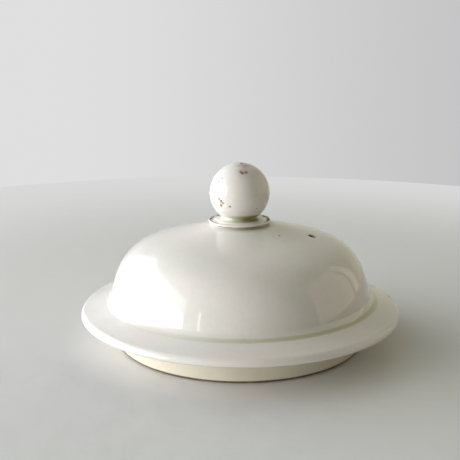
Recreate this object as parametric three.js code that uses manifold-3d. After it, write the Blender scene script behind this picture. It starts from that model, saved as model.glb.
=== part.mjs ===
// A small glazed ceramic cream jar: a shallow pot with an upstanding gallery, and a lift-off lid with a
// low dome, a sloping brim and a ball knob on a collar. Millimetres, +Z up. The origin is on the surface
// that the jar stands on, on the axis that every piece is turned about.

import * as THREE from 'three';
import { mergeVertices } from 'three/addons/utils/BufferGeometryUtils.js';
import Module from 'manifold-3d';

const wasm = await Module();
wasm.setup();

// Driving dimensions
const BRIM_RADIUS = 50;
const DOME_BASE_RADIUS = 40.8;
const POT_RADIUS = 38.3;
const COLLAR_RADIUS = 9.7;
const BALL_RADIUS = 9.31;

const FOOT_HEIGHT = 1.6;
const FLOOR_TOP = 4.7;
const LEDGE_HEIGHT = 9.5;
const DOME_BASE_HEIGHT = 14.2;
const GALLERY_HEIGHT = 19.5;
const DOME_TOP_HEIGHT = 37.5;
const COLLAR_TOP_HEIGHT = 39.4;
const BALL_CENTRE_HEIGHT = 47.3;

// Clearances
const SLIP = 0.1; // the layer of slip between two clay pieces that are joined
const SEAT_GAP = 0.15; // between the pot's ledge and the brim that rests on it
const GUIDE_GAP = 0.5; // between the pot's gallery and the brim around it

// Walls
const CAVITY_RADIUS = 33.2;
const CAVITY_CORNER = 3;
const GALLERY_WALL = 2.2;
const FOOT_WALL = 4.6;
const DOME_WALL = 3;
const PEG_RADIUS = 3;

// The vent hole through the dome
const VENT_RADIUS = 1.2;
const VENT_DISTANCE = 22.3; // from the axis
const VENT_BEARING = -11; // degrees from +X
const VENT_HEIGHT = 34.1;
const VENT_TILT = 13.4; // degrees off vertical, square to the dome
const VENT_CUTTER_LENGTH = 12;

const SIDES = 48;
const ARC_STEPS = 4;

const lidGlaze = new THREE.MeshStandardMaterial({ color: 0xd9d5c6, roughness: 0.15, metalness: 0 });
const potGlaze = new THREE.MeshStandardMaterial({ color: 0xd2c8ac, roughness: 0.2, metalness: 0 });
const bareClay = new THREE.MeshStandardMaterial({ color: 0x8d745a, roughness: 0.8, metalness: 0 });

// A point of an outline: its distance from the axis and its height.
function at(radius, height) {
  return new THREE.Vector2(radius, height);
}

// Points along an elliptical arc, from one angle to another in degrees.
function arc(radius, height, width, rise, from, to, steps = ARC_STEPS) {
  const points = [];
  for (let i = 0; i <= steps; i += 1) {
    const angle = THREE.MathUtils.degToRad(from + ((to - from) * i) / steps);
    points.push(at(radius + width * Math.cos(angle), height + rise * Math.sin(angle)));
  }
  return points;
}

// A solid turned about the Z axis from an outline that runs up its outside. A ring's outline closes on itself.
function turned(outline) {
  return new THREE.LatheGeometry(outline, SIDES).rotateX(Math.PI / 2);
}

function ring(outline) {
  return turned([...outline, outline[0].clone()]);
}

// The closed mesh of a geometry as a solid that can be cut.
function solid(geometry) {
  const bare = geometry.clone();
  bare.deleteAttribute('normal');
  bare.deleteAttribute('uv');
  const merged = mergeVertices(bare, 1e-4);
  const corners = merged.index.array;
  const triangles = [];
  for (let i = 0; i < corners.length; i += 3) {
    const [a, b, c] = [corners[i], corners[i + 1], corners[i + 2]];
    if (a !== b && b !== c && c !== a) triangles.push(a, b, c);
  }
  const vertProperties = new Float32Array(merged.attributes.position.array);
  const mesh = new wasm.Mesh({ numProp: 3, vertProperties, triVerts: new Uint32Array(triangles) });
  return new wasm.Manifold(mesh);
}

function geometryOf(cutSolid) {
  const mesh = cutSolid.getMesh();
  const geometry = new THREE.BufferGeometry();
  geometry.setAttribute('position', new THREE.BufferAttribute(mesh.vertProperties, 3));
  geometry.setIndex(new THREE.BufferAttribute(mesh.triVerts, 1));
  geometry.computeVertexNormals();
  return geometry;
}

// The low ring that the jar stands on, with a bevel where its bare clay meets the table.
function footRing() {
  const bevel = 0.3;
  const radius = POT_RADIUS - 0.2;
  return ring([
    at(radius - FOOT_WALL, 0),
    at(radius - bevel, 0),
    at(radius, bevel),
    at(radius, FOOT_HEIGHT),
    at(radius - FOOT_WALL, FOOT_HEIGHT),
  ]);
}

// The pot's floor and wall, up to the ledge that the brim rests on.
function cup() {
  const edge = 0.35;
  const bottom = FOOT_HEIGHT + SLIP;
  return turned([
    at(0, bottom),
    at(POT_RADIUS - edge, bottom),
    at(POT_RADIUS, bottom + edge),
    ...arc(POT_RADIUS - edge, LEDGE_HEIGHT - edge, edge, edge, 0, 90, 3),
    at(CAVITY_RADIUS, LEDGE_HEIGHT),
    ...arc(CAVITY_RADIUS - CAVITY_CORNER, FLOOR_TOP + CAVITY_CORNER, CAVITY_CORNER, CAVITY_CORNER, 0, -90),
    at(0, FLOOR_TOP),
  ]);
}

// The upstanding ring that centres the lid, tapered a little so that the lid drops over it.
function gallery() {
  const taper = 0.4;
  const halfRim = (GALLERY_WALL - taper) / 2;
  const rimCentre = CAVITY_RADIUS + halfRim;
  return ring([
    at(CAVITY_RADIUS, LEDGE_HEIGHT + SLIP),
    at(CAVITY_RADIUS + GALLERY_WALL, LEDGE_HEIGHT + SLIP),
    ...arc(rimCentre, GALLERY_HEIGHT - halfRim, halfRim, halfRim, 0, 180),
  ]);
}

// The brim slopes down and out from the foot of the dome to a rounded edge, with a hollow under it and a
// flat seat inside that.
function brim() {
  const seatHeight = LEDGE_HEIGHT + SEAT_GAP;
  const innerRadius = CAVITY_RADIUS + GALLERY_WALL + GUIDE_GAP;
  const top = DOME_BASE_HEIGHT - SLIP;
  const edgeRadius = 2;
  const edgeDrop = 0.85; // it is flatter below its widest point
  const edgeHeight = 9.85;
  const slopeStart = 69; // degrees round the edge at which the slope takes over
  return ring([
    at(innerRadius, seatHeight),
    at(innerRadius + 3, seatHeight),
    at(innerRadius + 5.6, seatHeight + 0.75),
    ...arc(BRIM_RADIUS - edgeRadius, edgeHeight, edgeRadius, edgeDrop, -90, 0),
    ...arc(BRIM_RADIUS - edgeRadius, edgeHeight, edgeRadius, edgeRadius, 0, slopeStart).slice(1),
    at(DOME_BASE_RADIUS + 1.5, top),
    at(innerRadius + 0.5, top),
    at(innerRadius, top - 0.5),
  ]);
}

// The dome before its vent is made: nearly straight on top, with a tight round shoulder, and the same
// thickness all over.
function domeShell() {
  const steps = 12;
  const profile = new THREE.CubicBezierCurve(
    at(DOME_BASE_RADIUS, DOME_BASE_HEIGHT),
    at(37.5, 33.7),
    at(28.9, 31.8),
    at(COLLAR_RADIUS, DOME_TOP_HEIGHT),
  );
  const inside = [];
  for (let i = steps; i > 0; i -= 1) {
    const along = profile.getTangent(i / steps);
    inside.push(profile.getPoint(i / steps).add(at(-along.y, along.x).multiplyScalar(DOME_WALL)));
  }
  return ring([
    ...profile.getPoints(steps),
    at(0, DOME_TOP_HEIGHT),
    at(0, DOME_TOP_HEIGHT - DOME_WALL),
    ...inside,
    at(DOME_BASE_RADIUS - DOME_WALL, DOME_BASE_HEIGHT),
  ]);
}

function dome() {
  const cutter = new THREE.CylinderGeometry(VENT_RADIUS, VENT_RADIUS, VENT_CUTTER_LENGTH, 24)
    .rotateX(Math.PI / 2)
    .rotateY(THREE.MathUtils.degToRad(VENT_TILT))
    .translate(VENT_DISTANCE, 0, VENT_HEIGHT)
    .rotateZ(THREE.MathUtils.degToRad(VENT_BEARING));
  return geometryOf(solid(domeShell()).subtract(solid(cutter)));
}

// The disc under the knob, with a round lip and a bore for the knob's peg.
function collar() {
  const lip = 0.35;
  const bottom = DOME_TOP_HEIGHT + SLIP;
  const lipHeight = 38.4;
  const lipRadius = COLLAR_RADIUS - lip;
  return ring([
    at(PEG_RADIUS + SLIP, bottom),
    at(lipRadius, bottom),
    at(COLLAR_RADIUS, bottom + lip),
    ...arc(lipRadius, lipHeight, lip, lip, 0, 90, 3),
    at(8.7, 38.55),
    at(7, 38.85),
    at(5.8, COLLAR_TOP_HEIGHT),
    at(PEG_RADIUS + SLIP, COLLAR_TOP_HEIGHT),
  ]);
}

// The short waisted neck under the ball, with a peg down through the collar to the dome.
function stem() {
  const waistRadius = 5.5;
  const bottom = COLLAR_TOP_HEIGHT + SLIP;
  return turned([
    at(0, DOME_TOP_HEIGHT + SLIP),
    at(PEG_RADIUS, DOME_TOP_HEIGHT + SLIP),
    at(PEG_RADIUS, bottom),
    at(5.75, bottom),
    at(waistRadius, bottom + 0.4),
    at(6.1, bottom + 0.8),
    at(0, bottom + 0.8),
  ]);
}

function ball() {
  const flat = COLLAR_TOP_HEIGHT + 1 - BALL_CENTRE_HEIGHT;
  const from = THREE.MathUtils.radToDeg(Math.asin(flat / BALL_RADIUS));
  return turned([
    at(0, BALL_CENTRE_HEIGHT + flat),
    ...arc(0, BALL_CENTRE_HEIGHT, BALL_RADIUS, BALL_RADIUS, from, 90, 11),
  ]);
}

function piece(name, geometry, material) {
  const mesh = new THREE.Mesh(geometry, material);
  mesh.name = name;
  return mesh;
}

const pot = new THREE.Group();
pot.add(
  piece('pot_foot_ring', footRing(), bareClay),
  piece('pot_cup', cup(), potGlaze),
  piece('pot_gallery', gallery(), potGlaze),
);

const lid = new THREE.Group();
lid.add(
  piece('lid_brim', brim(), lidGlaze),
  piece('lid_dome', dome(), lidGlaze),
  piece('knob_collar', collar(), lidGlaze),
  piece('knob_stem', stem(), lidGlaze),
  piece('knob_ball', ball(), lidGlaze),
);

const jar = new THREE.Group();
jar.add(pot, lid);

export default jar;
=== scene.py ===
"""Dresses a small glazed ceramic cream jar around its fixed CAD frame.

The work follows a potter's order. The pot, the lid and the knob are each turned from outlines of their
sections, the kiln's and the years' small flaws are pressed into them, and then they are glazed. Outlines
are in millimetres, as (distance from the axis, height); everything in the scene is in metres.
"""

import logging
import math
from collections.abc import Sequence
from dataclasses import dataclass
from enum import Enum
from itertools import pairwise

import bpy
from mathutils import Matrix, Vector


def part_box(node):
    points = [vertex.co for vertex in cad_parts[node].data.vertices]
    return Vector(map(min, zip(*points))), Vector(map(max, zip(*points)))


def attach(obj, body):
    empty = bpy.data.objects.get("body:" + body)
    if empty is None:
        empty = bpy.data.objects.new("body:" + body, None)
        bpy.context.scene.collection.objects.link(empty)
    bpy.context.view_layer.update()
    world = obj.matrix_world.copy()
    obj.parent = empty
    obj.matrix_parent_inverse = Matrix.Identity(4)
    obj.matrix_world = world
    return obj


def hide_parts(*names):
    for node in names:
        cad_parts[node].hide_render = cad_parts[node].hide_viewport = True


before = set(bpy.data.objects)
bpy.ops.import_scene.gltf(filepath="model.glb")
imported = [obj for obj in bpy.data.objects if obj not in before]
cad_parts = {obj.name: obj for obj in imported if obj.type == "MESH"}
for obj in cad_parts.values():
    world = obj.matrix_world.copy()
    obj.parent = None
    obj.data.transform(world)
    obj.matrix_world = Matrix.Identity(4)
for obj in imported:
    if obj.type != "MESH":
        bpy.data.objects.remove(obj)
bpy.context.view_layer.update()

log = logging.getLogger("cream_jar")

MM = 0.001
AXIS = (0.0, 0.0, 1.0)
CENTRE = (0.0, 0.0, 0.0)
SHADED_SIDE = (0.98, -0.17, 0.0)  # the side away from the window: the glaze pools are painted darker towards it, as painted shade

Point = tuple[float, float]
Colour = tuple[float, float, float]
Piece = bpy.types.Object
Finish = bpy.types.Material
Socket = bpy.types.NodeSocket
Tree = bpy.types.NodeTree


class Body(Enum):
    """The two loose pieces of the jar."""

    POT = "pot"
    LID = "lid"


class Slot(Enum):
    """The record's material slots."""

    LID_GLAZE = "lid_glaze"
    POT_GLAZE = "pot_glaze"
    BARE_CLAY = "bare_clay"


class Fall(Enum):
    """How a pressed mark fades out to the surface around it."""

    SHARP = "SHARP"
    SMOOTH = "SMOOTH"


# ---- Outlines ----


def arc(centre: Point, width: float, rise: float, start: float, end: float, steps: int) -> list[Point]:
    """Gives points along an elliptical arc.

    Args:
        centre: The arc's centre.
        width: Its half width.
        rise: Its half height.
        start: The angle it starts at, in degrees from the outward direction.
        end: The angle it ends at.
        steps: The number of pieces it is drawn in.

    Returns:
        The points, both ends among them.
    """
    turn = [math.radians(start + (end - start) * i / steps) for i in range(steps + 1)]
    return [(centre[0] + width * math.cos(a), centre[1] + rise * math.sin(a)) for a in turn]


@dataclass(frozen=True)
class Sweep:
    """A cubic curve between two points of an outline, with a handle at each end."""

    start: Point
    start_handle: Point
    end_handle: Point
    end: Point

    def at(self, t: float) -> Point:
        """Gives the point at a share t of the way along."""
        a, b, c, d = (1 - t) ** 3, 3 * (1 - t) ** 2 * t, 3 * (1 - t) * t * t, t**3
        ends = zip(self.start, self.start_handle, self.end_handle, self.end)
        radius, height = (a * p + b * q + c * r + d * s for p, q, r, s in ends)
        return radius, height

    def along(self, t: float) -> Point:
        """Gives the unit direction of travel at a share t of the way along."""
        a, b, c = (1 - t) ** 2, 2 * (1 - t) * t, t * t
        ends = zip(self.start, self.start_handle, self.end_handle, self.end)
        radius, height = (a * (q - p) + b * (r - q) + c * (s - r) for p, q, r, s in ends)
        size = math.hypot(radius, height)
        return radius / size, height / size

    def points(self, steps: int) -> list[Point]:
        """Gives evenly shared points, both ends among them."""
        return [self.at(i / steps) for i in range(steps + 1)]

    def beside(self, distance: float, steps: int) -> list[Point]:
        """Gives the points of a curve that keeps a distance to the left of this one.

        Args:
            distance: The distance kept.
            steps: The number of pieces it is drawn in.

        Returns:
            The points, both ends among them.
        """
        found = []
        for i in range(steps + 1):
            (radius, height), (dr, dz) = self.at(i / steps), self.along(i / steps)
            found.append((radius - dz * distance, height + dr * distance))
        return found


def softened(corner: Point, before: Point, after: Point, radius: float, steps: int = 5) -> list[Point]:
    """Rounds one corner of an outline.

    Args:
        corner: The sharp corner.
        before: The outline's point before it.
        after: The outline's point after it.
        radius: How far from the corner the round starts.
        steps: The number of pieces it is drawn in.

    Returns:
        The points of the round.
    """
    here, back, on = Vector(corner), Vector(before), Vector(after)
    start = here + (back - here).normalized() * radius
    end = here + (on - here).normalized() * radius
    pull = 0.45
    start_handle, end_handle = start.lerp(here, 1 - pull), end.lerp(here, 1 - pull)
    return Sweep(tuple(start), tuple(start_handle), tuple(end_handle), tuple(end)).points(steps)


# ---- Shaping ----


def toward(bearing: float, rise: float) -> Vector:
    """Gives a direction, from its bearing round the axis and its rise, in degrees from +X."""
    turn, up = math.radians(bearing), math.radians(rise)
    return Vector((math.cos(turn) * math.cos(up), math.sin(turn) * math.cos(up), math.sin(up)))


def take_up(piece: Piece) -> None:
    """Selects one piece alone and makes it the active one."""
    bpy.ops.object.select_all(action="DESELECT")
    piece.select_set(True)
    bpy.context.view_layer.objects.active = piece


def apply_all(piece: Piece) -> None:
    """Applies every modifier of a piece, in order."""
    take_up(piece)
    for name in [modifier.name for modifier in piece.modifiers]:
        bpy.ops.object.modifier_apply(modifier=name)


@dataclass(frozen=True)
class Wheel:
    """A potter's wheel: it turns a solid about the upright axis from an outline of its section."""

    steps: int = 288
    weld: float = 2e-6

    def turn(self, name: str, outline: Sequence[Point], closed: bool = False) -> Piece:
        """Turns one solid.

        Args:
            name: The piece's name.
            outline: Its section, which starts and ends on the axis unless it is closed.
            closed: True if the last point joins back to the first, as in a ring.

        Returns:
            The finished solid, with its faces pointing out.
        """
        path = [*outline, outline[0]] if closed else list(outline)
        bpy.ops.object.select_all(action="DESELECT")
        bpy.ops.mesh.primitive_plane_add(size=MM, location=CENTRE)
        piece = bpy.context.object
        piece.name = piece.data.name = name
        bpy.ops.object.mode_set(mode="EDIT")
        bpy.ops.mesh.select_all(action="SELECT")
        bpy.ops.mesh.merge(type="CENTER")
        bpy.ops.transform.translate(value=(path[0][0] * MM, 0, path[0][1] * MM))
        for (radius, height), (next_radius, next_height) in pairwise(path):
            step = ((next_radius - radius) * MM, 0, (next_height - height) * MM)
            bpy.ops.mesh.extrude_region_move(TRANSFORM_OT_translate={"value": step})
        bpy.ops.mesh.select_all(action="SELECT")
        bpy.ops.mesh.spin(steps=self.steps, angle=math.tau, center=CENTRE, axis=AXIS)
        bpy.ops.mesh.select_all(action="SELECT")
        bpy.ops.mesh.remove_doubles(threshold=self.weld)
        bpy.ops.mesh.dissolve_degenerate(threshold=self.weld)
        bpy.ops.mesh.select_all(action="SELECT")
        bpy.ops.mesh.normals_make_consistent(inside=False)
        bpy.ops.object.mode_set(mode="OBJECT")
        bpy.ops.object.shade_smooth()
        return piece


@dataclass(frozen=True)
class Wobble:
    """The slow unevenness that hands and the kiln leave in a turned piece."""

    depth: float = 0.12
    length: float = 24.0

    def give(self, piece: Piece) -> None:
        """Moves the surface in and out by up to half the depth, alike wherever two pieces meet."""
        clouds = bpy.data.textures.new("slow_wobble", "CLOUDS")
        clouds.noise_scale = self.length * MM
        clouds.noise_depth = 1
        wave = piece.modifiers.new("wobble", "DISPLACE")
        wave.texture = clouds
        wave.strength = self.depth * MM
        apply_all(piece)


@dataclass(frozen=True)
class Mark:
    """A pit, chip or speck: where it is in millimetres, how wide, and how deep."""

    place: tuple[float, float, float]
    radius: float
    depth: float = 0.0
    fall: Fall = Fall.SHARP

    def press(self, piece: Piece, inward: Vector) -> None:
        """Presses the mark into a piece's surface.

        Args:
            piece: The piece.
            inward: The direction to press in.
        """
        place = Vector(self.place) * MM
        nearest = min(piece.data.vertices, key=lambda vertex: (vertex.co - place).length_squared).index
        take_up(piece)
        bpy.ops.object.mode_set(mode="EDIT")
        bpy.ops.mesh.select_mode(type="VERT")
        bpy.ops.mesh.select_all(action="DESELECT")
        bpy.ops.object.mode_set(mode="OBJECT")
        piece.data.vertices[nearest].select = True
        bpy.ops.object.mode_set(mode="EDIT")
        bpy.ops.transform.translate(
            value=inward.normalized() * self.depth * MM,
            use_proportional_edit=True,
            proportional_edit_falloff=self.fall.value,
            proportional_size=self.radius * MM,
        )
        bpy.ops.object.mode_set(mode="OBJECT")


# ---- Finishes ----


class Graph:
    """Places and joins nodes in one tree."""

    def __init__(self, tree: Tree) -> None:
        """Starts on a tree."""
        self.tree = tree

    def node(self, kind: str, **settings: object) -> bpy.types.Node:
        """Adds a node of a type, sets its properties and gives it."""
        made = self.tree.nodes.new(kind)
        for key, value in settings.items():
            setattr(made, key, value)
        return made

    def feed(self, socket: Socket, value: object) -> None:
        """Joins another socket to this one, or sets its value."""
        if isinstance(value, Socket):
            self.tree.links.new(value, socket)
        else:
            socket.default_value = value

    def sum(self, operation: str, *values: object) -> Socket:
        """Gives the result of a Math node on up to three values."""
        made = self.node("ShaderNodeMath", operation=operation)
        for socket, value in zip(made.inputs, values):
            self.feed(socket, value)
        return made.outputs[0]

    def times(self, first: object, second: object) -> Socket:
        """Gives the product of two values."""
        return self.sum("MULTIPLY", first, second)

    def less(self, first: object, second: object) -> Socket:
        """Gives what is left of the first value when the second is taken from it."""
        return self.sum("SUBTRACT", first, second)

    def vector(self, operation: str, *values: object) -> bpy.types.Node:
        """Gives a Vector Math node on up to two values."""
        made = self.node("ShaderNodeVectorMath", operation=operation)
        for socket, value in zip(made.inputs, values):
            self.feed(socket, value)
        return made

    def fade(self, value: object, start: object, end: object) -> Socket:
        """Gives a smooth fade from 0 where a value is at start to 1 where it is at end."""
        made = self.node("ShaderNodeMapRange", interpolation_type="SMOOTHSTEP")
        for name, given in (("Value", value), ("From Min", start), ("From Max", end)):
            self.feed(made.inputs[name], given)
        return made.outputs["Result"]

    def mix(self, share: object, first: object, second: object, blend: str = "MIX") -> Socket:
        """Gives a mix of two colours by a share of the second."""
        made = self.node("ShaderNodeMix", data_type="RGBA", blend_type=blend)
        self.feed(made.inputs["Factor"], share)
        sides = [socket for socket in made.inputs if socket.type == "RGBA"]
        for socket, colour in zip(sides, (first, second)):
            self.feed(socket, colour if isinstance(colour, Socket) else (*colour, 1.0))
        return next(socket for socket in made.outputs if socket.type == "RGBA")

    def noise(self, place: object, size: float, detail: float = 2.0) -> Socket:
        """Gives noise from 0 to 1 with features about size metres across."""
        made = self.node("ShaderNodeTexNoise")
        self.feed(made.inputs["Vector"], place)
        made.inputs["Scale"].default_value = 1 / size
        made.inputs["Detail"].default_value = detail
        return made.outputs["Fac"]

    def from_axis(self, place: object) -> tuple[Socket, Socket, Socket]:
        """Gives a place's part square to the axis, its distance from the axis and its height."""
        part = self.node("ShaderNodeSeparateXYZ")
        self.feed(part.inputs[0], place)
        flat = self.vector("MULTIPLY", place, (1, 1, 0)).outputs["Vector"]
        return flat, self.vector("LENGTH", flat).outputs["Value"], part.outputs["Z"]

    def relief(self, surface: bpy.types.Node, height: object, depth: float) -> None:
        """Gives a surface a fine relief, from a height of 0 to 1 and its depth in metres."""
        bump = self.node("ShaderNodeBump")
        bump.inputs["Strength"].default_value = 1.0
        bump.inputs["Distance"].default_value = depth
        self.feed(bump.inputs["Height"], height)
        self.feed(surface.inputs["Normal"], bump.outputs["Normal"])

    def group(self, tree: Tree, **values: object) -> bpy.types.Node:
        """Places a node group and feeds its inputs, whose names have _ for each space."""
        made = self.node("ShaderNodeGroup", node_tree=tree)
        for name, value in values.items():
            self.feed(made.inputs[name.replace("_", " ")], value)
        return made


class Effects:
    """The effects that the glazes and the clay share, each a node group that is built once."""

    PLACES = ("Vector", "Place")
    COLOURS = ("Body", "Warm", "Cool", "Color")

    # How large the swings of each effect are, in metres.
    POOL_SWING = 0.009
    SPOT_SWING = 0.0007
    BAND_SWING = 0.006
    WARM_CLOUD = 0.022
    COOL_CLOUD = 0.012
    GRAIN = 0.0011
    CRACKLED_PATCH = 0.022

    # A hairline's cells and sways for each metre, and how far it sways.
    CELLS = 190.0
    SWAYS = 420.0
    SWAY = 0.0012

    def __init__(self) -> None:
        """Builds the groups."""
        self.pool = self._pool()
        self.spot = self._spot()
        self.band = self._band()
        self.mottle = self._mottle()
        self.crackle = self._crackle()

    def _start(self, name: str, inputs: Sequence[str], output: str) -> tuple[Graph, dict, dict]:
        """Starts a node group.

        Args:
            name: The group's name.
            inputs: The names of its inputs.
            output: The name of its only output.

        Returns:
            The graph, its named input sockets and its named output sockets.
        """
        tree = bpy.data.node_groups.new(name, "ShaderNodeTree")
        for label, way in (*((label, "INPUT") for label in inputs), (output, "OUTPUT")):
            kind = "Vector" if label in self.PLACES else "Color" if label in self.COLOURS else "Float"
            tree.interface.new_socket(label, in_out=way, socket_type=f"NodeSocket{kind}")
        graph = Graph(tree)
        given, result = graph.node("NodeGroupInput"), graph.node("NodeGroupOutput")
        return graph, given.outputs, result.inputs

    def _pool(self) -> Tree:
        """Builds the mask of a ring about the axis where glaze has run together, weaker on the side towards
        the window so that it stays darker on the side away from it, as painted shade.
        """
        inputs = ("Vector", "Radius", "Height", "Width", "Unevenness", "Lean")
        graph, given, result = self._start("glaze_pool_and_side_shade", inputs, "Mask")
        flat, radius, height = graph.from_axis(given["Vector"])
        out = graph.less(radius, given["Radius"])
        up = graph.less(height, given["Height"])
        away = graph.sum("SQRT", graph.sum("MULTIPLY_ADD", out, out, graph.times(up, up)))
        swing = graph.less(graph.noise(given["Vector"], self.POOL_SWING), 0.5)
        share = graph.sum("MULTIPLY_ADD", swing, given["Unevenness"], 1.0)
        width = graph.times(given["Width"], share)
        ring = graph.less(1.0, graph.fade(away, graph.times(width, 0.3), width))
        # Painted shade: Lean weakens the ring on the side towards the window, so it stays darker on the side
        # away from it.
        bearing = graph.vector("NORMALIZE", flat).outputs["Vector"]
        side = graph.vector("DOT_PRODUCT", bearing, SHADED_SIDE).outputs["Value"]
        turned = graph.less(1.0, graph.fade(side, -0.7, 0.75))
        shallow = graph.times(turned, given["Lean"])
        graph.feed(result["Mask"], graph.times(ring, graph.less(1.0, shallow)))
        return graph.tree

    def _spot(self) -> Tree:
        """Builds the mask of one small ragged spot."""
        inputs = ("Vector", "Place", "Radius", "Ragged", "Core")
        graph, given, result = self._start("small_spot", inputs, "Mask")
        away = graph.vector("DISTANCE", given["Vector"], given["Place"]).outputs["Value"]
        swing = graph.less(graph.noise(given["Vector"], self.SPOT_SWING), 0.5)
        share = graph.sum("MULTIPLY_ADD", swing, given["Ragged"], 1.0)
        reach = graph.times(given["Radius"], share)
        core = graph.times(reach, given["Core"])
        graph.feed(result["Mask"], graph.less(1.0, graph.fade(away, core, reach)))
        return graph.tree

    def _band(self) -> Tree:
        """Builds the mask of a ring about the axis between two radii and two heights."""
        inputs = ("Vector", "Inner", "Outer", "Low", "High", "Edge", "Unevenness")
        graph, given, result = self._start("turned_band", inputs, "Mask")
        swing = graph.less(graph.noise(given["Vector"], self.BAND_SWING, 3.0), 0.5)
        drift = graph.times(swing, given["Unevenness"])
        _, radius, height = graph.from_axis(given["Vector"])
        between = []
        for value, low, high in ((radius, "Inner", "Outer"), (height, "Low", "High")):
            moved = graph.sum("ADD", value, drift)
            rising = graph.fade(moved, graph.less(given[low], given["Edge"]), given[low])
            beyond = graph.fade(moved, given[high], graph.sum("ADD", given[high], given["Edge"]))
            between.append(graph.times(rising, graph.less(1.0, beyond)))
        graph.feed(result["Mask"], graph.times(*between))
        return graph.tree

    def _mottle(self) -> Tree:
        """Builds the slow drift of a glaze's colour between a warm and a cool tone, with a fine grain."""
        graph, given, result = self._start("glaze_mottle", ("Vector", "Body", "Warm", "Cool"), "Color")
        slow = graph.fade(graph.noise(given["Vector"], self.WARM_CLOUD, 4.0), 0.36, 0.70)
        elsewhere = graph.vector("ADD", given["Vector"], (0.3, 0.1, 0.2)).outputs["Vector"]
        cool = graph.fade(graph.noise(elsewhere, self.COOL_CLOUD, 3.0), 0.42, 0.74)
        warm_tone = graph.mix(graph.times(slow, 0.75), given["Body"], given["Warm"])
        tone = graph.mix(graph.times(cool, 0.7), warm_tone, given["Cool"])
        grain = graph.fade(graph.noise(given["Vector"], self.GRAIN, 4.0), 0.3, 0.7)
        speckle = graph.times(grain, 0.10)
        graph.feed(result["Color"], graph.mix(speckle, tone, given["Warm"], "MULTIPLY"))
        return graph.tree

    def _crackle(self) -> Tree:
        """Builds the mask of hairline crazing, which shows only in patches."""
        graph, given, result = self._start("hairline_crackle", ("Vector", "Line", "Cover"), "Mask")
        sway = graph.node("ShaderNodeTexNoise")
        graph.feed(sway.inputs["Vector"], given["Vector"])
        sway.inputs["Scale"].default_value = self.SWAYS
        shaken = graph.vector("SCALE", sway.outputs["Color"])
        shaken.inputs["Scale"].default_value = self.SWAY
        moved = graph.vector("ADD", given["Vector"], shaken.outputs["Vector"]).outputs["Vector"]
        cells = graph.node("ShaderNodeTexVoronoi", feature="DISTANCE_TO_EDGE")
        graph.feed(cells.inputs["Vector"], moved)
        cells.inputs["Scale"].default_value = self.CELLS
        line = graph.less(1.0, graph.fade(cells.outputs["Distance"], 0.0, given["Line"]))
        bare = graph.less(1.0, given["Cover"])
        patch = graph.fade(graph.noise(given["Vector"], self.CRACKLED_PATCH), bare, 1.0)
        graph.feed(result["Mask"], graph.times(line, patch))
        return graph.tree


@dataclass(frozen=True)
class Pool:
    """A ring about the axis where glaze has run together, in millimetres; its lean paints it darker on the
    side away from the window, as painted shade.
    """

    radius: float
    height: float
    width: float
    strength: float = 1.0
    lean: float = 0.0
    colour: Colour = (0.66, 0.69, 0.48)


@dataclass(frozen=True)
class Band:
    """A turned band between two radii and two heights, in millimetres."""

    inner: float
    outer: float
    low: float
    high: float
    edge: float = 0.12
    unevenness: float = 0.3


def on_band(graph: Graph, effects: Effects, place: Socket, band: Band) -> Socket:
    """Gives the mask of a band at a place on a piece, in a material's graph."""
    return graph.group(
        effects.band,
        Vector=place,
        Inner=band.inner * MM,
        Outer=band.outer * MM,
        Low=band.low * MM,
        High=band.high * MM,
        Edge=band.edge * MM,
        Unevenness=band.unevenness * MM,
    ).outputs["Mask"]


def on_spot(
    graph: Graph, effects: Effects, place: Socket, mark: Mark, ragged: float, core: float
) -> Socket:
    """Gives the mask of a spot with a ragged edge and a share of its radius covered fully."""
    return graph.group(
        effects.spot,
        Vector=place,
        Place=tuple(value * MM for value in mark.place),
        Radius=mark.radius * MM,
        Ragged=ragged,
        Core=core,
    ).outputs["Mask"]


def new_finish(name: str) -> tuple[Finish, Graph, bpy.types.Node, Socket]:
    """Starts a material and gives it, its graph, its surface shader and the place on the piece."""
    made = bpy.data.materials.new(name)
    made.use_nodes = True
    graph = Graph(made.node_tree)
    place = graph.node("ShaderNodeTexCoord").outputs["Object"]
    return made, graph, made.node_tree.nodes["Principled BSDF"], place


def strongest(graph: Graph, masks: Sequence[Socket]) -> Socket:
    """Gives the largest of several masks."""
    top = masks[0]
    for mask in masks[1:]:
        top = graph.sum("MAXIMUM", top, mask)
    return top


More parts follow.
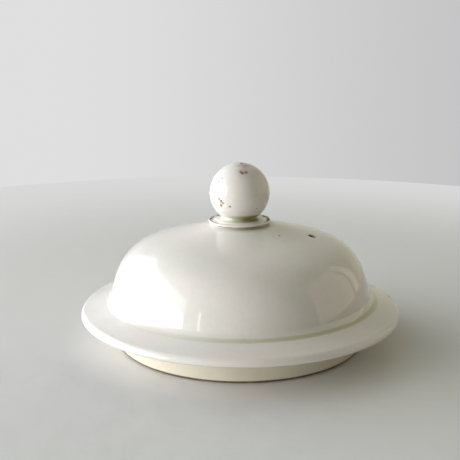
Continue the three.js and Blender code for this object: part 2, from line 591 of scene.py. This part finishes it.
@dataclass(frozen=True)
class Glaze:
    """A clear lead-white glaze over a pale body, with its pools, stains and wiped bands; the pools' lean and
    the vent's dark spot are painted shade.
    """

    name: str
    body: Colour
    warm: Colour
    cool: Colour
    pools: tuple[Pool, ...] = ()
    stains: tuple[Mark, ...] = ()
    wiped: tuple[Band, ...] = ()
    dirt: tuple[Band, ...] = ()
    worn: tuple[Mark, ...] = ()
    # Spots of painted shade, near black, as inside the vent hole.
    vent_shade: tuple[Mark, ...] = ()
    offset: float = 0.0
    shine: float = 0.055
    clay: Colour = (0.50, 0.38, 0.26)
    stain: Colour = (0.16, 0.095, 0.045)
    stain_strength: float = 0.85
    wear: Colour = (0.47, 0.38, 0.29)
    # The colour of the painted shade in the vent hole.
    black: Colour = (0.010, 0.008, 0.005)
    pool_swing: float = 0.7
    crackle_line: float = 0.022
    crackle_cover: float = 0.45
    crackle_strength: float = 0.35
    dirt_strength: float = 0.85
    dullest: float = 0.85
    relief: float = 0.00007
    bend: float = 1.52

    def material(self, effects: Effects) -> Finish:
        """Makes the glaze's material.

        Args:
            effects: The shared effects.

        Returns:
            The material.
        """
        made, graph, surface, corner = new_finish(self.name)
        place = graph.vector("SUBTRACT", corner, (self.offset * MM, 0, 0)).outputs["Vector"]

        tone = graph.group(
            effects.mottle, Vector=place, Body=(*self.body, 1), Warm=(*self.warm, 1), Cool=(*self.cool, 1)
        ).outputs["Color"]
        # Pools are pooled glaze; their lean, and those under the knob, are also painted shade.
        for pool in self.pools:
            mask = graph.group(
                effects.pool,
                Vector=place,
                Radius=pool.radius * MM,
                Height=pool.height * MM,
                Width=pool.width * MM,
                Unevenness=self.pool_swing,
                Lean=pool.lean,
            ).outputs["Mask"]
            tone = graph.mix(graph.times(mask, pool.strength), tone, pool.colour, "MULTIPLY")
        crackle = graph.group(
            effects.crackle, Vector=place, Line=self.crackle_line, Cover=self.crackle_cover
        ).outputs["Mask"]
        tone = graph.mix(graph.times(crackle, self.crackle_strength), tone, self.stain)

        rough = []
        if self.dirt:
            grime = strongest(graph, [on_band(graph, effects, place, band) for band in self.dirt])
            broken = graph.fade(graph.noise(place, 0.0016, 4.0), 0.36, 0.54)
            grime = graph.times(grime, broken)
            tone = graph.mix(graph.times(grime, self.dirt_strength), tone, self.stain)
            rough.append(grime)
        # Worn spots and stains are the glaze's own marks; the last row is painted shade in the vent.
        for marks, colour, strength, ragged, core in (
            (self.worn, self.wear, 0.55, 2.0, 0.2),
            (self.stains, self.stain, self.stain_strength, 1.2, 0.45),
            (self.vent_shade, self.black, 1.0, 0.1, 0.85),
        ):
            spots = [on_spot(graph, effects, place, mark, ragged, core) for mark in marks]
            if spots:
                spot = strongest(graph, spots)
                tone = graph.mix(graph.times(spot, strength), tone, colour)
                rough.append(spot)
        if self.wiped:
            bare = strongest(graph, [on_band(graph, effects, place, band) for band in self.wiped])
            grain = graph.fade(graph.noise(place, 0.0009, 4.0), 0.3, 0.7)
            damp = tuple(0.7 * part for part in self.clay)
            clay = graph.mix(graph.times(grain, 0.5), self.clay, damp)
            tone = graph.mix(bare, tone, clay)
            rough.append(bare)
        graph.feed(surface.inputs["Base Color"], tone)

        smear = graph.times(graph.fade(graph.noise(place, 0.014, 3.0), 0.45, 0.8), 0.05)
        dull = graph.sum("ADD", smear, self.shine)
        if rough:
            dull = graph.sum("MULTIPLY_ADD", strongest(graph, rough), self.dullest, dull)
        graph.feed(surface.inputs["Roughness"], dull)

        slow = graph.noise(place, 0.011, 1.0)
        peel = graph.noise(place, 0.0021, 1.0)
        height = graph.sum("MULTIPLY_ADD", peel, 0.10, slow)
        if rough:
            height = graph.sum("MULTIPLY_ADD", strongest(graph, rough), -0.35, height)
        graph.relief(surface, height, self.relief)
        surface.inputs["IOR"].default_value = self.bend
        return made


@dataclass(frozen=True)
class Clay:
    """Fired clay left bare: matt, gritty and stained where hands and tables touch it, and darkened along its
    lowest edge by wear and painted contact shade.
    """

    name: str = "bare_clay"
    pale: Colour = (0.34, 0.24, 0.15)
    dark: Colour = (0.08, 0.05, 0.03)
    worn_and_shaded_edge: Band = Band(0, 60, -1, 0.25, 0.3, 0.2)
    relief: float = 0.00012

    def material(self, effects: Effects) -> Finish:
        """Makes the clay's material.

        Args:
            effects: The shared effects.

        Returns:
            The material.
        """
        made, graph, surface, place = new_finish(self.name)
        grit = graph.noise(place, 0.0008, 5.0)
        blotch = graph.fade(graph.noise(place, 0.008, 3.0), 0.35, 0.7)
        damp = tuple(0.6 * part for part in self.pale)
        tone = graph.mix(graph.fade(grit, 0.35, 0.75), self.pale, damp)
        tone = graph.mix(graph.times(blotch, 0.55), tone, self.dark)
        # Wear and painted contact shade: the lowest edge, where the foot meets the table, is darkened.
        worn = on_band(graph, effects, place, self.worn_and_shaded_edge)
        tone = graph.mix(graph.times(worn, 0.6), tone, self.dark)
        graph.feed(surface.inputs["Base Color"], tone)
        graph.feed(surface.inputs["Roughness"], graph.sum("MULTIPLY_ADD", grit, 0.2, 0.68))
        graph.relief(surface, grit, self.relief)
        return made


# ---- The jar ----


def hand_over(piece: Piece, node: str, body: Body, finish: Finish) -> None:
    """Glazes a finished piece, puts it in its CAD node's place and reports it.

    Args:
        piece: The piece.
        node: The CAD node that it stands for.
        body: The loose piece of the jar that it belongs to.
        finish: The material.
    """
    piece.data.materials.clear()
    piece.data.materials.append(finish)
    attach(piece, body.value)
    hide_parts(node)
    log.info("%s: %d faces, rides on %s", piece.name, len(piece.data.polygons), body.value)


@dataclass
class Pot:
    """The shallow pot: a foot ring, a cup with a ledge for the lid, and a gallery that centres it."""

    effects: Effects
    wheel: Wheel = Wheel()
    wobble: Wobble = Wobble()
    foot_wall: float = 4.6
    skirt_height: float = 0.75
    corner: float = 3.0
    ring_pitch: float = 5.2
    ring_depth: float = 0.11

    def __post_init__(self) -> None:
        """Reads the pot's sizes from the frame, in millimetres."""
        cup_low, cup_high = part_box("pot_cup")
        rim_low, rim_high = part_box("pot_gallery")
        self.radius = cup_high[0] / MM
        self.underside = cup_low[2] / MM
        self.ledge = cup_high[2] / MM
        self.gallery_radius = rim_high[0] / MM
        self.gallery_top = rim_high[2] / MM
        self.cavity = self.gallery_radius - 2.2
        self.floor = self.underside + 3.0

    def build(self) -> None:
        """Turns and glazes the three pieces."""
        glaze = self.dress()
        clay = Clay().material(self.effects)
        for node, shape, slot, finish in (
            ("pot_foot_ring", self.foot_ring, Slot.BARE_CLAY, clay),
            ("pot_cup", self.cup, Slot.POT_GLAZE, glaze),
            ("pot_gallery", self.gallery, Slot.POT_GLAZE, glaze),
        ):
            hand_over(shape(), node, Body.POT, finish)

    def foot_ring(self) -> Piece:
        """Turns the bare ring that the jar stands on."""
        outer = self.radius - 0.45
        inner = self.radius - self.foot_wall
        top = self.underside - 0.05
        outline = [
            *softened((inner, 0.0), (inner, top), (outer, 0.0), 0.4),
            *softened((outer, 0.0), (inner, 0.0), (outer, top), 0.35),
            *softened((outer, top), (outer, 0.0), (inner, top), 0.1, 2),
            (inner, top),
        ]
        return self.wheel.turn("foot_ring_of_bare_clay", outline, closed=True)

    def cup(self) -> Piece:
        """Turns the floor and wall, whose glaze comes down over the foot ring to an uneven line."""
        outer, inner = self.radius, self.radius - 0.5
        skirt = self.skirt_height
        crease = (inner - 0.2, self.underside)
        floor_edge = self.cavity - self.corner
        rings = []
        count = 60
        for i in range(1, count + 1):
            radius = floor_edge * (1 - i / count)
            fade = math.sin(math.pi * min(1.0, radius / floor_edge))
            ridge = self.ring_depth * fade * math.sin(math.tau * radius / self.ring_pitch)
            rings.append((radius, self.floor + ridge))
        outline = [
            (0.0, self.underside),
            *softened(crease, (0.0, self.underside), (inner, skirt + 0.3), 0.2, 3),
            *arc(((inner + outer) / 2, skirt + 0.25), 0.25, 0.25, 180, 360, 8),
            (outer, 2.2),
            (outer - 0.05, 5.6),
            *softened((outer - 0.1, self.ledge), (outer - 0.05, 5.6), (self.cavity, self.ledge), 0.6, 6),
            (self.cavity + 0.3, self.ledge),
            (self.cavity, self.ledge - 0.3),
            *arc((floor_edge, self.floor + self.corner), self.corner, self.corner, 0, -90, 14),
            *rings,
        ]
        piece = self.wheel.turn("cup_of_the_pot", outline)
        self.wobble.give(piece)
        return piece

    def gallery(self) -> Piece:
        """Turns the upstanding ring inside the ledge, with a glaze fillet at its foot."""
        outer, inner, top, foot = self.gallery_radius, self.cavity, self.gallery_top, self.ledge
        half = (outer - inner) / 2 - 0.15
        centre = inner + half
        outline = [
            (inner, foot - 0.8),
            (outer + 0.1, foot - 0.8),
            (outer + 0.3, foot - 0.02),
            *Sweep(
                (outer + 0.3, foot + 0.01),
                (outer, foot + 0.02),
                (outer, foot + 0.2),
                (outer, foot + 0.5),
            ).points(5),
            (outer - 0.05, foot + 3),
            *arc((centre, top - half), half + 0.05, half, 0, 180, 16),
            (inner, foot + 3),
        ]
        piece = self.wheel.turn("gallery_of_the_pot", outline, closed=True)
        self.wobble.give(piece)
        return piece

    def dress(self) -> Finish:
        """Makes the pot's glaze, a little creamier than the lid's, with its seat wiped clean."""
        seat_inner = self.gallery_radius + 0.5
        return Glaze(
            name="pot_glaze",
            body=(0.80, 0.755, 0.63),
            warm=(0.78, 0.70, 0.55),
            cool=(0.76, 0.74, 0.64),
            pools=(
                Pool(self.gallery_radius + 0.2, self.ledge, 0.9, 0.6),
                Pool(self.cavity - 1.0, self.floor + 1.0, 2.4, 0.7),
            ),
            wiped=(Band(seat_inner, self.radius - 0.4, self.ledge - 0.2, self.ledge + 0.3, 0.12, 0.25),),
        ).material(self.effects)


@dataclass
class Lid:
    """The lift-off lid: a sloping brim and a low dome with one vent hole."""

    effects: Effects
    wheel: Wheel = Wheel()
    wobble: Wobble = Wobble()
    wall: float = 3.0
    vent_radius: float = 1.2
    vent_flare: float = 0.55
    vent_distance: float = 22.3
    vent_bearing: float = -11.0
    vent_tilt: float = 13.4
    edge_radius: float = 2.0
    edge_drop: float = 0.85
    edge_height: float = 9.85
    edge_play: float = 0.06
    slope_start: float = 64.0
    fillet_share: float = 0.035
    swelling: Mark = Mark((26.0, 0.0, 32.8), 24.0, -0.6, Fall.SMOOTH)
    swelling_way: tuple[float, float, float] = (-0.55, 0.0, -0.84)
    vent_shade_depth: float = 0.9
    vent_shade_radius: float = 1.72

    def __post_init__(self) -> None:
        """Reads the lid's sizes from the frame, in millimetres."""
        brim_low, brim_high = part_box("lid_brim")
        dome_low, dome_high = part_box("lid_dome")
        self.brim_radius = brim_high[0] / MM
        self.brim_top = brim_high[2] / MM
        self.base_radius = dome_high[0] / MM
        self.base_height = dome_low[2] / MM
        self.top_height = dome_high[2] / MM
        self.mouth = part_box("pot_gallery")[1][0] / MM + 0.5
        self.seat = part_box("pot_cup")[1][2] / MM + 0.15
        self.collar_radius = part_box("knob_collar")[1][0] / MM
        self.profile = Sweep(
            (self.base_radius, self.base_height),
            (self.base_radius - 3.3, self.base_height + 19.5),
            (self.collar_radius + 19.2, self.top_height - 5.7),
            (self.collar_radius, self.top_height),
        )

    def build(self) -> None:
        """Turns, pierces and glazes the two pieces."""
        glaze = self.dress()
        for node, shape in (("lid_brim", self.brim), ("lid_dome", self.dome)):
            hand_over(shape(), node, Body.LID, glaze)

    def brim(self) -> Piece:
        """Turns the brim, with a round edge, a hollow under it and a fillet of glaze up to the dome."""
        mouth, seat, edge = self.mouth, self.seat, self.edge_height
        seat_edge = (mouth + 3.0, seat)
        hollow = (mouth + 5.6, seat + 0.75)
        nose = (self.brim_radius - self.edge_play - self.edge_radius, edge)
        rounding = arc(nose, self.edge_radius, self.edge_radius, 0, self.slope_start, 20)
        slope_end = (self.base_radius + 1.5, self.brim_top)
        fillet_top = self.profile.at(self.fillet_share)
        steep = self.profile.along(self.fillet_share)
        under_dome = (self.base_radius - 1.2, self.brim_top)
        outline = [
            *softened((mouth, seat), (mouth, seat + 3), seat_edge, 0.3, 4),
            *softened(seat_edge, (mouth, seat), hollow, 0.5, 4),
            *softened(hollow, seat_edge, (nose[0], edge - self.edge_drop), 1.4, 8),
            *arc(nose, self.edge_radius, self.edge_drop, -90, 0, 12),
            *rounding[1:],
            *Sweep(
                rounding[-1],
                (rounding[-1][0] - 1.6, rounding[-1][1] + 0.48),
                (slope_end[0] + 2.2, slope_end[1] - 0.92),
                slope_end,
            ).points(14)[1:],
            *Sweep(
                (slope_end[0] - 0.15, slope_end[1] + 0.10),
                (slope_end[0] - 0.9, slope_end[1] + 0.6),
                (fillet_top[0] - steep[0] * 0.9, fillet_top[1] - steep[1] * 0.9),
                (fillet_top[0] - 0.03, fillet_top[1]),
            ).points(12),
            (fillet_top[0] - 0.35, fillet_top[1] + 0.1),
            under_dome,
            *softened((mouth, self.brim_top), under_dome, (mouth, seat), 0.7, 4),
        ]
        piece = self.wheel.turn("brim_of_the_lid", outline, closed=True)
        self.wobble.give(piece)
        return piece

    def dome(self) -> Piece:
        """Turns the dome and pierces its vent."""
        steps = 72
        inside = self.profile.beside(self.wall, steps)[::-1]
        foot = self.base_height - 0.15
        outline = [
            (self.base_radius - 0.02, foot),
            *self.profile.points(steps),
            (self.collar_radius - 2, self.top_height + 0.05),
            (0.0, self.top_height + 0.05),
            (0.0, self.top_height - self.wall),
            *inside[1:-3],
            (self.base_radius - self.wall, foot),
        ]
        piece = self.wheel.turn("dome_of_the_lid", outline, closed=True)
        self.pierce(piece)
        self.wobble.give(piece)
        self.swelling.press(piece, Vector(self.swelling_way))
        return piece

    def pierce(self, dome: Piece) -> None:
        """Bores the vent through the dome, with a soft edge where the glaze has rounded it.

        Args:
            dome: The dome, before its wobble.
        """
        radius, flare = self.vent_radius, self.vent_flare
        reach = 3.0
        outline = [
            (0.0, -reach - self.wall),
            (radius + 0.4, -reach - self.wall),
            (radius + 0.4, -self.wall - 0.2),
            (radius, -self.wall + 0.4),
            *arc((radius + flare, -flare), flare, flare, 180, 100, 10),
            (radius + flare + 0.6, 0.12),
            (radius + flare + 0.6, reach),
            (0.0, reach),
        ]
        drill = Wheel(steps=48).turn("vent_drill", outline)
        drill.matrix_world = self.vent_frame()
        take_up(drill)
        bpy.ops.object.transform_apply(location=True, rotation=True, scale=True)
        bore = dome.modifiers.new("vent", "BOOLEAN")
        bore.operation = "DIFFERENCE"
        bore.solver = "EXACT"
        bore.object = drill
        apply_all(dome)
        bpy.data.objects.remove(drill)

    def vent_frame(self) -> Matrix:
        """Gives the place of the vent's mouth in metres, with Z along the bore and out of the dome."""
        mouth = min(self.profile.points(200), key=lambda point: abs(point[0] - self.vent_distance))
        tilt = Matrix.Rotation(math.radians(self.vent_tilt), 4, "Y")
        place = Matrix.Translation((self.vent_distance * MM, 0, mouth[1] * MM))
        return Matrix.Rotation(math.radians(self.vent_bearing), 4, "Z") @ place @ tilt

    def dress(self) -> Finish:
        """Makes the lid's glaze, with a green pool round the dome, painted shade under the knob's collar and
        inside the vent, and a seat wiped clean.
        """
        # Painted shade inside the vent, centred a little way down its bore.
        bore = self.vent_frame() @ Vector((0, 0, -self.vent_shade_depth * MM)) / MM
        return Glaze(
            name="lid_glaze",
            body=(0.83, 0.803, 0.77),
            warm=(0.82, 0.755, 0.715),
            cool=(0.765, 0.765, 0.70),
            pools=(
                # Pooled glaze at the dome's foot; its lean is painted shade.
                Pool(self.base_radius + 1.5, self.brim_top + 0.1, 1.15, 0.9, 0.9),
                # Pooled glaze and painted shade on the dome under the knob collar's lip.
                Pool(self.collar_radius + 0.3, self.top_height + 0.2, 1.6, 0.35, 0.8),
            ),
            stains=(
                Mark((11.7, -10.0, 35.9), 0.5),
                Mark((30.0, -8.8, 31.0), 0.35),
                Mark((1.4, -41.4, 14.3), 0.45),
                Mark((48.3, 6.7, 11.6), 0.8),
                Mark((-36.6, -31.5, 11.6), 0.35),
            ),
            vent_shade=(Mark(tuple(bore), self.vent_shade_radius),),
            wiped=(Band(self.mouth + 0.2, self.mouth + 2.6, self.seat - 0.3, self.seat + 0.15, 0.12, 0.3),),
        ).material(self.effects)


@dataclass
class Knob:
    """The knob: a collar on the crown of the dome, a short neck and a ball with worn pits."""

    effects: Effects
    wheel: Wheel = Wheel()
    wobble: Wobble = Wobble(depth=0.08, length=9.0)
    lip: float = 0.32
    offset: float = -0.28
    neck_radius: float = 5.55

    def __post_init__(self) -> None:
        """Reads the knob's sizes from the frame, in millimetres."""
        collar_low, collar_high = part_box("knob_collar")
        ball_low, ball_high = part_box("knob_ball")
        self.collar_radius = collar_high[0] / MM
        self.collar_foot = collar_low[2] / MM
        self.collar_top = collar_high[2] / MM
        self.ball_radius = ball_high[0] / MM
        self.ball_centre = ball_high[2] / MM - self.ball_radius
        self.pits = tuple(
            self.pit(*seen)
            for seen in (
                (-127, -8, 0.6),
                (-123, -11, 0.42),
                (-129, -17, 0.55),
                (-132, -4, 0.4),
                (-109, -17, 0.45),
                (-134, 36, 0.35),
                (-140, 28, 0.35),
                (-81, 50, 0.7),
                (-70, 51, 0.6),
                (-86, 53, 0.5),
                (-60, 82, 0.7),
                (-51, -24, 0.3),
                (70, 30, 0.45),
                (150, -12, 0.4),
            )
        )

    def pit(self, bearing: float, rise: float, radius: float) -> Mark:
        """Gives a pit on the ball, from its bearing and rise in degrees and its radius in millimetres."""
        place = toward(bearing, rise) * self.ball_radius + Vector((0, 0, self.ball_centre))
        return Mark(tuple(place), radius, radius * 0.35)

    def build(self) -> None:
        """Turns, wears and glazes the three pieces."""
        glaze = self.dress()
        shapes = (("knob_collar", self.collar), ("knob_stem", self.stem), ("knob_ball", self.ball))
        for node, shape in shapes:
            piece = shape()
            take_up(piece)
            piece.location.x = self.offset * MM
            bpy.ops.object.transform_apply(location=True)
            hand_over(piece, node, Body.LID, glaze)

    def collar(self) -> Piece:
        """Turns the collar, with a round lip, a groove inside it and a fillet down to the dome."""
        radius, foot, top, lip = self.collar_radius, self.collar_foot, self.collar_top, self.lip
        shoulder = foot + 0.98
        outline = [
            (0.0, foot - 0.6),
            (radius - 0.2, foot - 0.6),
            (radius + 0.5, foot - 0.6),
            *Sweep(
                (radius + 0.6, foot - 0.42),
                (radius + 0.1, foot - 0.15),
                (radius - 0.4, foot + 0.1),
                (radius - 0.5, foot + 0.6),
            ).points(10),
            *arc((radius - lip, shoulder), lip, lip, -60, 140, 14),
            *Sweep(
                (radius - 0.85, shoulder + 0.1),
                (radius - 1.2, shoulder),
                (radius - 2.3, top - 0.5),
                (6.6, top - 0.22),
            ).points(10),
            (5.6, top + 0.1),
            (0.0, top + 0.1),
        ]
        piece = self.wheel.turn("collar_of_the_knob", outline)
        self.wobble.give(piece)
        return piece

    def stem(self) -> Piece:
        """Turns the waisted neck between the collar and the ball."""
        top, neck = self.collar_top, self.neck_radius
        outline = [
            (0.0, top - 0.6),
            (7.3, top - 0.6),
            (7.4, top - 0.42),
            *Sweep(
                (7.3, top - 0.36),
                (neck + 0.5, top - 0.15),
                (neck, top + 0.1),
                (neck, top + 0.6),
            ).points(10),
            *Sweep(
                (neck, top + 0.65),
                (neck, top + 0.95),
                (neck + 0.3, top + 1.1),
                (neck + 0.7, top + 1.3),
            ).points(6),
            (neck + 0.5, top + 2.0),
            (0.0, top + 2.0),
        ]
        piece = self.wheel.turn("neck_of_the_knob", outline)
        self.wobble.give(piece)
        return piece

    def ball(self) -> Piece:
        """Turns the ball and presses its pits."""
        flat = -(self.ball_centre - self.collar_top - 1.0)
        start = math.degrees(math.asin(flat / self.ball_radius))
        outline = [
            (0.0, self.ball_centre + flat),
            *arc((0.0, self.ball_centre), self.ball_radius, self.ball_radius, start, 90, 120),
        ]
        piece = self.wheel.turn("ball_of_the_knob", outline)
        self.wobble.give(piece)
        middle = Vector((0, 0, self.ball_centre))
        for pit in self.pits:
            pit.press(piece, middle - Vector(pit.place))
        return piece

    def dress(self) -> Finish:
        """Makes the knob's glaze, with a deep green pool at its neck, painted shade under the ball and under
        the collar's lip, brown pits and a dirty groove.
        """
        groove = self.collar_radius - 0.75
        return Glaze(
            name="knob_glaze",
            body=(0.83, 0.805, 0.775),
            warm=(0.83, 0.765, 0.735),
            cool=(0.79, 0.775, 0.73),
            pools=(
                # Pooled glaze at the neck, reaching up onto the ball's underside as painted shade.
                Pool(self.neck_radius + 0.5, self.collar_top + 0.9, 2.0, 1.0, 0.85, (0.36, 0.37, 0.12)),
                # Pooled glaze and painted shade under the collar's lip, where it meets the dome.
                Pool(self.collar_radius - 0.2, self.collar_foot + 0.3, 0.75, 0.95, 0.5, (0.40, 0.37, 0.22)),
            ),
            offset=self.offset,
            stains=self.pits,
            worn=(
                self.pit(-76, 54, 2.6),
                self.pit(-60, 72, 2.4),
                self.pit(-90, 72, 1.4),
                self.pit(-127, -12, 1.1),
            ),
            dirt=(Band(groove - 0.35, groove + 0.3, self.collar_foot + 0.6, self.collar_top, 0.2, 0.6),),
        ).material(self.effects)


# ---- The studio ----


@dataclass(frozen=True)
class Softbox:
    """A soft rectangular lamp that faces the jar."""

    name: str
    bearing: float
    distance: float
    shift: float
    low: float
    high: float
    width: float
    radiance: float
    colour: Colour = (1.0, 1.0, 1.0)
    reflected_only: bool = False

    def hang(self) -> None:
        """Hangs the lamp at its bearing, in degrees from +X, shifted sideways along its own plane."""
        out, side = toward(self.bearing, 0), toward(self.bearing + 90, 0)
        lamp = bpy.data.lights.new(self.name, "AREA")
        lamp.shape = "RECTANGLE"
        lamp.size = self.width
        lamp.size_y = self.high - self.low
        lamp.color = self.colour
        lamp.energy = self.radiance * math.pi * lamp.size * lamp.size_y
        stand = bpy.data.objects.new(self.name, lamp)
        bpy.context.scene.collection.objects.link(stand)
        middle = Vector((0, 0, (self.low + self.high) / 2))
        stand.location = out * self.distance + side * self.shift + middle
        stand.rotation_euler = out.to_track_quat("Z", "Y").to_euler()
        stand.visible_camera = False
        stand.visible_diffuse = not self.reflected_only


@dataclass(frozen=True)
class Glow:
    """A broad soft patch of light on the room's walls."""

    bearing: float
    rise: float
    colour: Colour


@dataclass(frozen=True)
class Studio:
    """A pale table top in a soft-lit room, with a window to the left and the camera a little above.

    A pane of the window has a name, its shift and width in metres, and how bright it is low and high.
    """

    table_radius: float = 0.285
    table_colour: Colour = (0.74, 0.74, 0.735)
    haze_colour: Colour = (0.69, 0.69, 0.69)
    wall_left: Colour = (0.74, 0.74, 0.74)
    wall_right: Colour = (0.55, 0.55, 0.55)
    eye_height: float = 0.10527
    eye_distance: float = 0.28906
    look_down: float = 13.60
    look_left: float = 0.64
    lens: float = 74.66
    rim_fade: float = 0.16
    far: float = 0.80
    window_bearing: float = 162
    sill: float = 0.30
    head: float = 0.76
    panes: tuple[tuple[str, float, float, float, float], ...] = (
        ("back", -0.3325, 0.665, 6.2, 1.5),
        ("middle", 0.3335, 0.667, 6.8, 2.4),
        ("front", 1.001, 0.668, 9.6, 2.6),
    )
    door_colour: Colour = (1.0, 0.93, 0.82)
    shade: Colour = (0.0, 0.0, 0.0)
    glows: tuple[Glow, ...] = (
        Glow(-135, 12, (0.69, 0.66, 0.54)),
        Glow(180, 12, (0.08, 0.16, 0.30)),
        Glow(90, 12, (0.15, 0.18, 0.24)),
        Glow(45, 12, (0.54, 0.49, 0.30)),
    )

    def build(self) -> None:
        """Sets the table, the lamps, the room's light and the camera."""
        self.table()
        self.room()
        lamps = []
        for name, shift, width, low, high in self.panes:
            halves = (("low", 0.0, self.sill, low), ("high", self.sill, self.head, high))
            for part, foot, top, radiance in halves:
                pane = (f"window_{name}_{part}", self.window_bearing, self.far, shift, foot, top, width)
                lamps.append(Softbox(*pane, radiance))
        lamps.append(Softbox("window_strip", -124, self.far, 0.0, 0.0, 0.25, 0.03, 4.5))
        for name, shift, width in (("doorway", -0.10, 0.74), ("door_edge", 0.393, 0.156)):
            lamps.append(Softbox(name, 8.5, self.far, shift, 0.0, 0.72, width, 0.65, self.door_colour, True))
        for lamp in lamps:
            lamp.hang()
        self.camera()
        bpy.context.scene.view_settings.view_transform = "Standard"

    def table(self) -> None:
        """Makes the round table top, which fades into the wall's tone towards its rim."""
        bpy.ops.object.select_all(action="DESELECT")
        bpy.ops.mesh.primitive_circle_add(
            vertices=128, radius=self.table_radius, fill_type="NGON", location=CENTRE
        )
        top = bpy.context.object
        top.name = "table_top"
        paint, graph, surface, place = new_finish("table_paint")
        surface.inputs["Base Color"].default_value = (*self.table_colour, 1)
        surface.inputs["Roughness"].default_value = 0.55
        graph.relief(surface, graph.noise(place, 0.01, 3.0), 0.0002)
        away = graph.vector("LENGTH", place).outputs["Value"]
        haze = graph.node("ShaderNodeEmission")
        haze.inputs["Color"].default_value = (*self.haze_colour, 1)
        blend = graph.node("ShaderNodeMixShader")
        veil = graph.fade(away, self.table_radius - self.rim_fade, self.table_radius)
        seen = graph.node("ShaderNodeLightPath").outputs["Is Camera Ray"]
        graph.feed(blend.inputs[0], graph.times(veil, seen))
        graph.feed(blend.inputs[1], surface.outputs[0])
        graph.feed(blend.inputs[2], haze.outputs[0])
        graph.feed(paint.node_tree.nodes["Material Output"].inputs["Surface"], blend.outputs[0])
        top.data.materials.append(paint)

    def room(self) -> None:
        """Lights the room with its glows, and shows the camera a plain wall."""
        world = bpy.context.scene.world or bpy.data.worlds.new("room")
        bpy.context.scene.world = world
        world.use_nodes = True
        graph = Graph(world.node_tree)
        world.node_tree.nodes.clear()
        way = graph.node("ShaderNodeTexCoord").outputs["Generated"]
        light = self.shade
        for glow in self.glows:
            near = graph.vector("DOT_PRODUCT", way, toward(glow.bearing, glow.rise)).outputs["Value"]
            light = graph.mix(graph.fade(near, 0.2, 0.95), light, glow.colour, "ADD")
        across = graph.vector("DOT_PRODUCT", way, (1.0, 0.0, 0.0)).outputs["Value"]
        wall = graph.mix(graph.fade(across, -0.2, 0.3), self.wall_left, self.wall_right)
        seen = graph.mix(graph.node("ShaderNodeLightPath").outputs["Is Camera Ray"], light, wall)
        glow = graph.node("ShaderNodeBackground")
        graph.feed(glow.inputs["Color"], seen)
        result = graph.node("ShaderNodeOutputWorld")
        graph.feed(result.inputs["Surface"], glow.outputs[0])

    def camera(self) -> None:
        """Sets the camera in front of the jar, looking down at it."""
        eye = bpy.data.objects.new("camera", bpy.data.cameras.new("camera"))
        bpy.context.scene.collection.objects.link(eye)
        eye.data.lens = self.lens
        eye.data.sensor_width = 36.0
        eye.data.clip_start = 0.01
        eye.location = (0, -self.eye_distance, self.eye_height)
        eye.rotation_euler = (math.radians(90 - self.look_down), 0, math.radians(self.look_left))
        bpy.context.scene.camera = eye


def main() -> None:
    """Builds the jar, then the studio around it."""
    logging.basicConfig(level=logging.INFO, format="%(asctime)s %(name)s: %(message)s")
    effects = Effects()
    for assembly in (Pot(effects), Lid(effects), Knob(effects)):
        assembly.build()
        log.info("%s is done", type(assembly).__name__)
    Studio().build()


if __name__ == "__main__":
    main()
